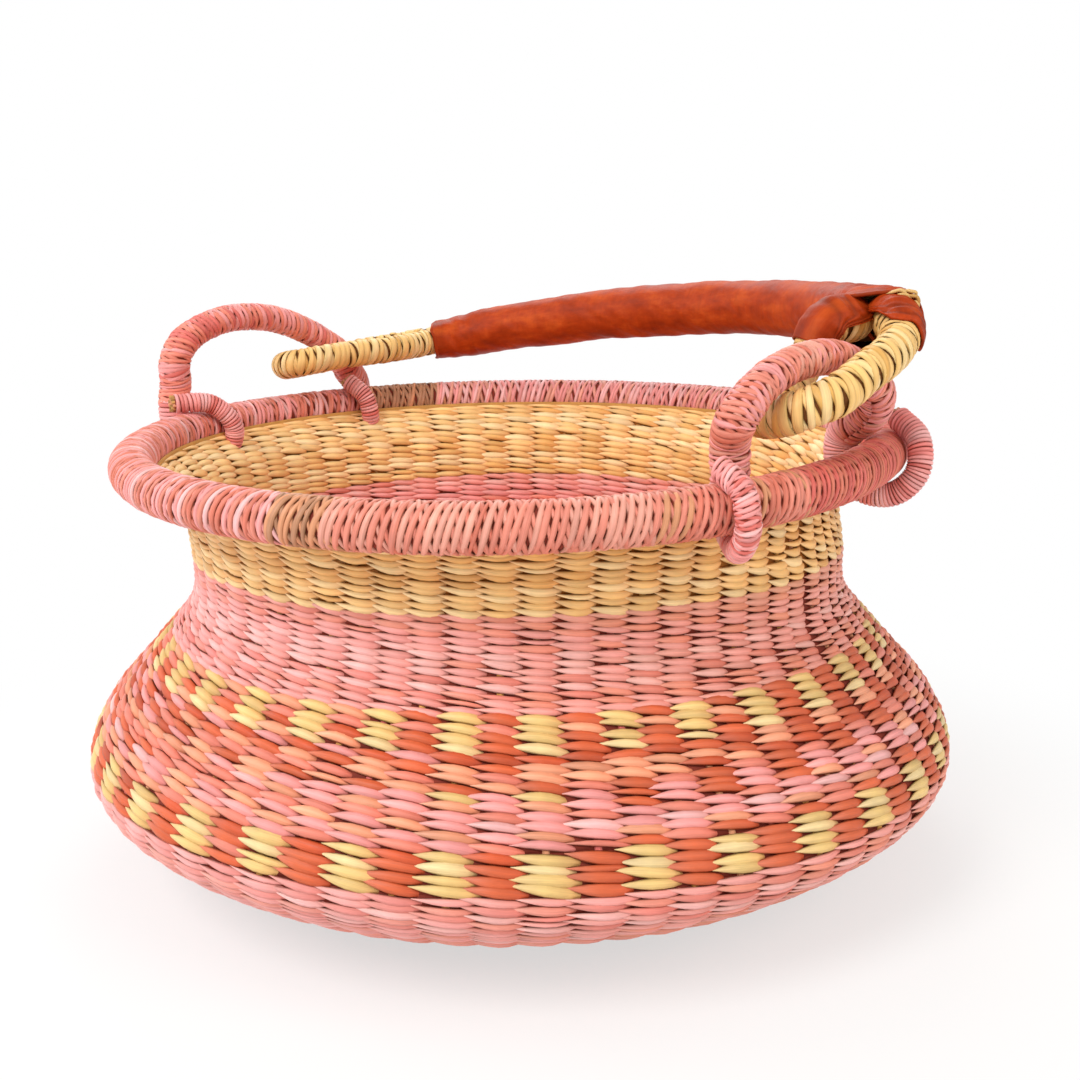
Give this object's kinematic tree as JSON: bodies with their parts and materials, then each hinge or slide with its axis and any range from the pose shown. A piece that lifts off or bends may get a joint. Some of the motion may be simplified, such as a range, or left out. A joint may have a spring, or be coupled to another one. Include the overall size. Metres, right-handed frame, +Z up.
{
  "type": "woven grass market basket",
  "caption": "Round squat grass basket with a twined wall, a waisted neck, a wrapped rim with bound ears and a swinging leather-gripped handle.",
  "frame": {"origin": "centre of the round base, on the surface that the basket stands on", "axes": "+Z up. +X towards the right ear of the picture. +Y towards the side over which the handle lies folded"},
  "size_m": [0.4378, 0.4378, 0.2823],
  "materials": {
    "natural_grass": "undyed grass with a soft sheen",
    "pink_grass": "twisted dyed grass with a soft sheen",
    "salmon_grass": "twisted dyed grass with a soft sheen",
    "orange_grass": "twisted dyed grass with a soft sheen",
    "peach_grass": "twisted dyed grass with a soft sheen",
    "brown_grass": "twisted dyed grass with a soft sheen",
    "tan_grass": "twisted dyed grass with a soft sheen",
    "pale_grass": "undyed grass with a soft sheen",
    "rust_leather": "polished goatskin"
  },
  "bodies": {
    "basket": {"base_disc": "salmon_grass", "foot_band": "salmon_grass", "lower_check_band": "orange_grass", "middle_band": "peach_grass", "upper_check_band": "orange_grass", "shoulder_band": "pink_grass", "neck_band": "natural_grass", "rim_core": "natural_grass", "rim_wrap_front": "pink_grass", "rim_wrap_front_right": "peach_grass", "rim_wrap_right": "salmon_grass", "rim_wrap_back": "pink_grass", "rim_wrap_back_left": "brown_grass", "rim_wrap_left": "pink_grass", "rim_wrap_front_left": "tan_grass", "ear_right": "pink_grass", "ear_left": "pink_grass"},
    "handle": {"handle_rope": "natural_grass", "eye_winding_right_outer": "pale_grass", "eye_winding_right_inner": "pale_grass", "eye_winding_left_outer": "pale_grass", "eye_winding_left_inner": "pale_grass", "leather_grip": "rust_leather"}
  },
  "joints": [
    {"name": "handle_swing", "type": "hinge", "parent": "basket", "child": "handle", "pos_m": [-0.188, -0.006, 0.227], "axis": [0.9991, -0.0374, 0.0221], "range_deg": [0, 160]}
  ]
}
